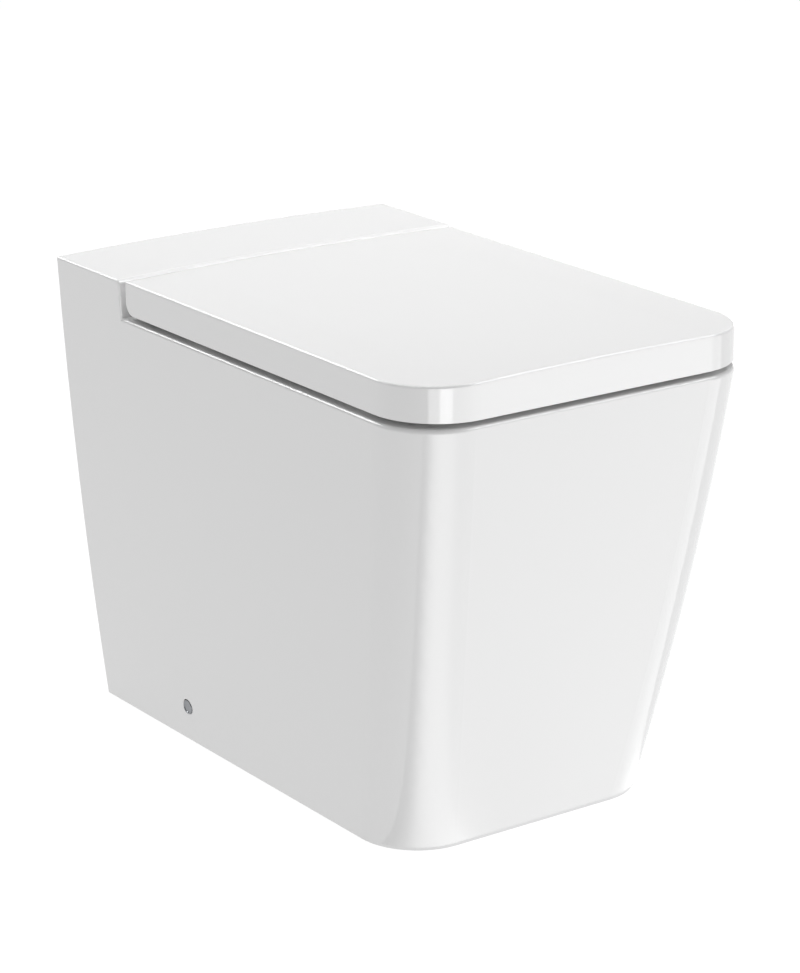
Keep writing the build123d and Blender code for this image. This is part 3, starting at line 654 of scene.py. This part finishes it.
# Acetal is slippery and dark, with a low moulded sheen.
acetal, tree, shader, place = new_material("moulded acetal", {
    "Base Color": linear(acetal_black), "IOR": 1.48})
grit = add(tree, "ShaderNodeTexNoise", {"Vector": place, "Scale": 1 / acetal_grit, "Detail": 2.0})
textured(tree, shader, grit, (0.3, 0.42))
for node, body, side in (("seat_damper", "seat", -1), ("lid_damper", "lid", 1)):
    outward = (side, 0, 0)
    start, length = end_of(node, outward)
    hole_end = length - vane_hole_depth
    cartridge = [(0, 0), (damper_radius - soft_edge, 0), (damper_radius, soft_edge),
                 (damper_radius, length - soft_edge), (damper_radius - soft_edge, length),
                 (vane_hole, length), (vane_hole, hole_end), (0, hole_end)]
    finished(node + "_cartridge", [turned(cartridge, start, outward, 48)], acetal,
             body, [node])

# The seat ring: urea-formaldehyde thermoset, pressed in a heated tool and polished.
# It turns on the hinge pins and rests on four rubber feet.
thermoset_white = "#E8E8E8"
ripple_width = 14 * mm
wiping_width = 35 * mm


def pressed_white(name, gloss):
    """Pressed thermoset: dense, hard and glossy, with a very low ripple from the tool's polish."""
    made, tree, shader, place = new_material(name, {"Base Color": linear(thermoset_white), "IOR": 1.55})
    wiping = add(tree, "ShaderNodeTexNoise", {"Vector": place, "Scale": 1 / wiping_width, "Detail": 4.0})
    textured(tree, shader, wiping, (gloss - 0.02, gloss + 0.03))
    ripple = add(tree, "ShaderNodeTexNoise", {"Vector": place, "Scale": 1 / ripple_width, "Detail": 2.0})
    skin = add(tree, "ShaderNodeBump", {
        "Height": ripple.outputs[0], "Strength": 0.3, "Distance": 0.02 * mm})
    tree.links.new(skin.outputs[0], shader.inputs["Normal"])
    return made


dress("seat_ring", pressed_white("pressed urea thermoset, seat", gloss=0.12))

# The lid: the same pressed thermoset, wrapped over the seat ring, with its polished crown on top.
# It turns on the hinge pins outside the seat's knuckles.
dress("lid_shell", pressed_white("pressed urea thermoset, lid", gloss=0.1))

# The buffers: pale thermoplastic rubber pads, snapped into the seat's and the lid's undersides.
# They keep the closed lid and seat from knocking on what is below.
foot_width = 14 * mm
foot_length = 34 * mm
foot_steps = 8
foot_sole = ((1.6, 0), (0.6, 0.5), (0, 1.6))
lid_stud_radius = 6 * mm
lid_stud_dome = ((2.6, 0), (1.2, 0.5), (0.4, 1.4), (0, 2.6))
buffer_pale = "#D8D8D4"
buffer_grit = 0.9 * mm

# Thermoplastic rubber: pale, soft and satin, and a little translucent.
buffer_rubber, tree, shader, place = new_material("pale thermoplastic rubber", {
    "Base Color": linear(buffer_pale), "IOR": 1.5, "Subsurface Weight": 0.15,
    "Subsurface Radius": (0.004, 0.004, 0.003)})
grit = add(tree, "ShaderNodeTexNoise", {"Vector": place, "Scale": 1 / buffer_grit, "Detail": 3.0})
textured(tree, shader, grit, (0.42, 0.58))


def padded_foot(x, y, bottom, top):
    """A pad with rounded corners and a softened sole, lofted through level outlines."""
    made = bmesh.new()
    levels = [(top, 0.0)] + [(bottom + rise * mm, inset * mm) for rise, inset in foot_sole]
    rows = []
    for z, inset in levels:
        radius = foot_width / 3 - inset / 2
        row = []
        for quarter in range(4):
            centre_x = x + (1, -1, -1, 1)[quarter] * (foot_width / 2 - inset - radius)
            centre_y = y + (1, 1, -1, -1)[quarter] * (foot_length / 2 - inset - radius)
            for step in range(foot_steps + 1):
                angle = radians(90 * quarter + 90 * step / foot_steps)
                row.append(made.verts.new((
                    centre_x + radius * cos(angle), centre_y + radius * sin(angle), z)))
        rows.append(row)
    return lofted(made, rows, caps=(rows[0], rows[-1]))


low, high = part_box("seat_buffers")
feet = [padded_foot(x, y, low[2], high[2])
        for x in (low[0] + foot_width / 2, high[0] - foot_width / 2)
        for y in (low[1] + foot_length / 2, high[1] - foot_length / 2)]
finished("seat_feet", feet, buffer_rubber, "seat", ["seat_buffers"])
low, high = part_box("lid_buffers")
height = high[2] - low[2]
stud = [(0, 0)] + [(lid_stud_radius - inset * mm, rise * mm) for inset, rise in lid_stud_dome]
stud += [(lid_stud_radius, height), (0, height)]
studs = [turned(stud, (x, y, low[2]), up, 40)
         for x in (low[0] + lid_stud_radius, high[0] - lid_stud_radius)
         for y in (low[1] + lid_stud_radius, high[1] - lid_stud_radius)]
finished("lid_studs", studs, buffer_rubber, "lid", ["lid_buffers"])

# The room: white paper on the floor, under a pale sky and soft lamps.
# The paper glows a little, so that it stays white behind the pan as it does under studio lamps.
paper_reach = 20.0
paper_tone = "#5A5A5A"
paper_glow = 0.96
sky_light = 0.4
plain_white = "#FFFFFF"
pan_middle = (0, 0, 0.4)
pan_foot = (0, 0, 0.25)


def flat_sheet(name, corners, material):
    """A flat piece of the studio."""
    mesh = bpy.data.meshes.new(name)
    mesh.from_pydata(corners, [], [list(range(len(corners)))])
    mesh.materials.append(material)
    made = bpy.data.objects.new(name, mesh)
    bpy.context.scene.collection.objects.link(made)
    return made


def lamp(name, place, target, width, height, strength, shows_in):
    """A soft rectangular lamp that faces a point and shows in gloss, in the diffuse light or in both."""
    made = bpy.data.lights.new(name, "AREA")
    made.shape = "RECTANGLE"
    made.size = width
    made.size_y = height
    made.energy = strength * width * height * pi
    lamp_object = bpy.data.objects.new(name, made)
    bpy.context.scene.collection.objects.link(lamp_object)
    lamp_object.location = place
    lamp_object.rotation_euler = (Vector(target) - Vector(place)).to_track_quat("-Z", "Y").to_euler()
    lamp_object.visible_camera = False
    lamp_object.visible_diffuse = shows_in != "gloss"
    lamp_object.visible_glossy = shows_in != "diffuse"


# Studio paper is matt and even, with no gloss at all.
paper, tree, shader, place = new_material("white studio paper", {
    "Base Color": linear(paper_tone), "Roughness": 0.95, "Specular IOR Level": 0.0,
    "Emission Color": linear(plain_white), "Emission Strength": paper_glow})
flat_sheet("floor", [(-paper_reach, -paper_reach, 0), (paper_reach, -paper_reach, 0),
                     (paper_reach, paper_reach, 0), (-paper_reach, paper_reach, 0)], paper)
sky = bpy.data.worlds.new("soft room")
bpy.context.scene.world = sky
sky.use_nodes = True
sky.node_tree.nodes["Background"].inputs["Color"].default_value = linear(plain_white)
sky.node_tree.nodes["Background"].inputs["Strength"].default_value = sky_light
lamp("lamp_above", (0.5, 0.7, 2.3), pan_middle, 2.2, 2.2, strength=3.55, shows_in="diffuse")
lamp("lamp_front", (1.5, -2.6, 1.1), pan_foot, 1.6, 1.6, strength=2.0, shows_in="both")
lamp("lamp_edges", (-0.93, 2.31, 2.1), pan_middle, 1.8, 1.0, strength=8.0, shows_in="gloss")
lamp("lamp_groove", (1.66, -1.6, 2.47), pan_middle, 1.6, 1.6, strength=9.0, shows_in="gloss")

# The cards: glowing white boards on the floor and far behind, which show only in the gloss of the pan.
# The fan before the pan starts in the foot's own wall. Its glow peaks where the round corner shows it, and
# is level where the flat front does.
fan_height = 3 * mm
fan_middle = Vector((-0.07, -0.12, fan_height))
fan_sweep = radians(-150)
fan_peak = 5.0
fan_levels = ((0.06, 0.0), (0.25, 0.9), (0.33, 0.84), (0.45, 0.56),
              (0.55, 0.49), (0.83, 0.49), (0.93, 0.25))
fan_start_level = 0.0
fan_end_level = 0.2
fan_far_corners = ((2.6, -1.3), (2.6, -3.2), (-1.4, -3.2), (-2.6, -2.4))
foot_corner = Vector((-0.0835, -0.1445, fan_height))
foot_round = 53 * mm
foot_turns = (200, 215, 230, 245, 260, 270)
lid_card_height = 5 * mm
lid_card_corners = ((-0.98, -1.0), (-2.7, -2.6), (-1.4, -3.2), (2.2, -3.2), (2.4, -2.4), (1.0, -1.0))
corner_card_height = 7 * mm
corner_card_corners = ((-0.72, -1.2), (-1.15, -2.1), (-0.5, -2.35), (-0.35, -1.35))
far_card_corners = ((1.5, 6.5, -0.1), (7.0, 3.0, -0.1), (7.0, 3.0, 1.2), (1.5, 6.5, 1.2))


def bright_card(name, corners, strength):
    """A glowing card that shows only in gloss, and the tree, shader and coordinates of its material."""
    made, tree, shader, place = new_material(name, {
        "Base Color": linear("#000000"), "Emission Color": linear(plain_white),
        "Emission Strength": strength})
    card = flat_sheet(name, corners, made)
    card.visible_camera = False
    card.visible_diffuse = False
    card.visible_shadow = False
    card.visible_transmission = False
    return tree, shader, place


foot_line = [foot_corner + foot_round * Vector((cos(radians(turn)), sin(radians(turn)), 0))
             for turn in foot_turns]
foot_line += [Vector((-corner.x, corner.y, corner.z)) for corner in reversed(foot_line)]
tree, shader, place = bright_card(
    "card_front", foot_line + [Vector((x, y, fan_height)) for x, y in fan_far_corners], 1.0)
from_middle = add(tree, "ShaderNodeVectorMath", {0: place, 1: fan_middle}, operation="SUBTRACT")
split = add(tree, "ShaderNodeSeparateXYZ", {"Vector": from_middle.outputs[0]})
turn = add(tree, "ShaderNodeMath", {0: split.outputs["Y"], 1: split.outputs["X"]}, operation="ARCTAN2")
spread = add(tree, "ShaderNodeMapRange", {
    "Value": turn.outputs[0], "From Min": fan_sweep, "From Max": 0.0})
band = add(tree, "ShaderNodeFloatCurve", {"Value": spread.outputs[0]})
points = band.mapping.curves[0].points
points[0].location = (0.0, fan_start_level)
points[1].location = (1.0, fan_end_level)
for where, level in fan_levels:
    points.new(where, level)
band.mapping.update()
glow = add(tree, "ShaderNodeMath", {0: band.outputs[0], 1: fan_peak}, operation="MULTIPLY")
tree.links.new(glow.outputs[0], shader.inputs["Emission Strength"])
bright_card("card_lid", [(x, y, lid_card_height) for x, y in lid_card_corners], 3.8)
bright_card("card_corner", [(x, y, corner_card_height) for x, y in corner_card_corners], 7.0)
bright_card("card_far", far_card_corners, 2.5)

# The camera: where the photograph's viewer stood, worked out from the pan's edges in the photograph.
# Its sensor spans the photograph's longer side, and the lens follows from the focal length in pixels.
photo_longer_side = 973
focal_pixels = 3321.4
sensor_width = 36
looked_at = Vector((0.0005, -0.0017, 0.2552))
backwards = Vector((-0.5541, -0.7732, 0.3083)).normalized()
viewer_distance = 2.9806
camera = bpy.data.cameras.new("camera")
camera.sensor_width = sensor_width
camera.lens = focal_pixels / photo_longer_side * sensor_width
camera.clip_end = 100
viewer = bpy.data.objects.new("camera", camera)
bpy.context.scene.collection.objects.link(viewer)
viewer.location = looked_at + backwards * viewer_distance
viewer.rotation_euler = backwards.to_track_quat("Z", "Y").to_euler()
bpy.context.scene.camera = viewer
bpy.context.scene.view_settings.view_transform = "Standard"
